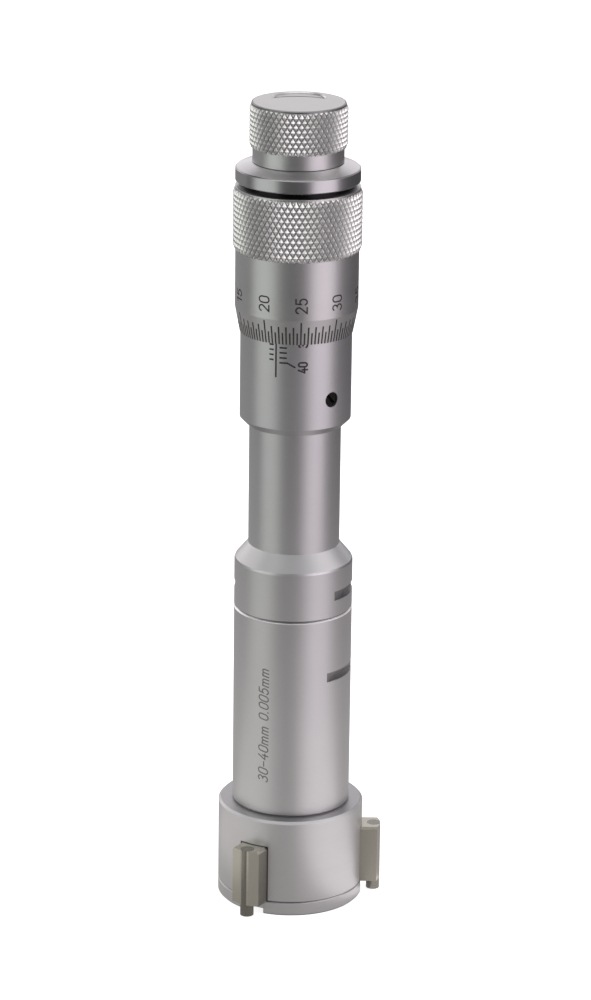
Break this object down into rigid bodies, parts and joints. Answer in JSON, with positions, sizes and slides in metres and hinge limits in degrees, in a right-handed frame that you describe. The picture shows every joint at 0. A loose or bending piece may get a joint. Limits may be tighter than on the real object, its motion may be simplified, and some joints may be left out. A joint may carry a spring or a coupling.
{
  "type": "three-point inside micrometer",
  "caption": "Inside micrometer for bores: a knurled thimble with a ratchet knob drives a cone down a long stem, which spreads sliding anvils in a round measuring head.",
  "frame": {"origin": "centre of the flat bottom face of the cover under the measuring head", "axes": "+Z along the instrument towards the ratchet knob, +X along the first anvil"},
  "size_m": [0.0325, 0.0332, 0.162],
  "materials": {
    "satin_chrome": "satin chrome plating over fine turning marks",
    "bright_steel": "smooth bright flange",
    "ground_steel": "ground hardened steel",
    "carbide": "lapped hard metal",
    "bronze": "turned bearing bronze",
    "spring_steel": "drawn spring wire",
    "black_steel": "black oxide"
  },
  "bodies": {
    "instrument_body": {"measuring_head": "satin_chrome", "head_cover": "satin_chrome", "cover_screws": "black_steel", "ring_spring": "spring_steel", "body_tube": "satin_chrome", "lower_guide": "bronze", "upper_guide": "bronze", "rod_spring": "spring_steel", "stem": "satin_chrome", "spindle_nut": "bronze", "adjusting_nut": "satin_chrome", "sleeve": "satin_chrome", "set_screw": "black_steel"},
    "plunger": {"cone": "ground_steel", "push_rod": "ground_steel", "spring_collar": "ground_steel", "thrust_ball": "bright_steel"},
    "thimble_unit": {"spindle": "ground_steel", "thimble": "satin_chrome", "thimble_nut": "bright_steel", "clutch_wheel": "ground_steel"},
    "ratchet_unit": {"ratchet_knob": "satin_chrome", "clutch_ring": "ground_steel", "clutch_spring": "spring_steel", "retaining_ring": "spring_steel"},
    "anvil_unit_1": {"anvil_1": "ground_steel", "contact_pin_1": "carbide"},
    "anvil_unit_2": {"anvil_2": "ground_steel", "contact_pin_2": "carbide"},
    "anvil_unit_3": {"anvil_3": "ground_steel", "contact_pin_3": "carbide"}
  },
  "joints": [
    {"name": "plunger_feed", "type": "slide", "parent": "instrument_body", "child": "plunger", "axis": [0, 0, -1], "range_m": [-0.00622, 0.0038], "deforming": ["rod_spring"]},
    {"name": "thimble_turn", "type": "hinge", "parent": "plunger", "child": "thimble_unit", "pos_m": [0, 0, 0.13], "axis": [0, 0, -1], "range_deg": [-4474.8, 2725.2]},
    {"name": "ratchet_turn", "type": "hinge", "parent": "thimble_unit", "child": "ratchet_unit", "pos_m": [0, 0, 0.156], "axis": [0, 0, -1], "continuous": true},
    {"name": "anvil_1_slide", "type": "slide", "parent": "instrument_body", "child": "anvil_unit_1", "axis": [1, 0, 0], "range_m": [-0.00311, 0.0019], "deforming": ["ring_spring"]},
    {"name": "anvil_2_slide", "type": "slide", "parent": "instrument_body", "child": "anvil_unit_2", "axis": [-0.5, 0.866, 0], "range_m": [-0.00311, 0.0019]},
    {"name": "anvil_3_slide", "type": "slide", "parent": "instrument_body", "child": "anvil_unit_3", "axis": [-0.5, -0.866, 0], "range_m": [-0.00311, 0.0019]}
  ],
  "couplings": [
    {"joint": "thimble_turn", "follows": "plunger_feed", "rad_per_m": 12566},
    {"joint": "anvil_1_slide", "follows": "plunger_feed", "ratio": 0.5},
    {"joint": "anvil_2_slide", "follows": "plunger_feed", "ratio": 0.5},
    {"joint": "anvil_3_slide", "follows": "plunger_feed", "ratio": 0.5}
  ]
}
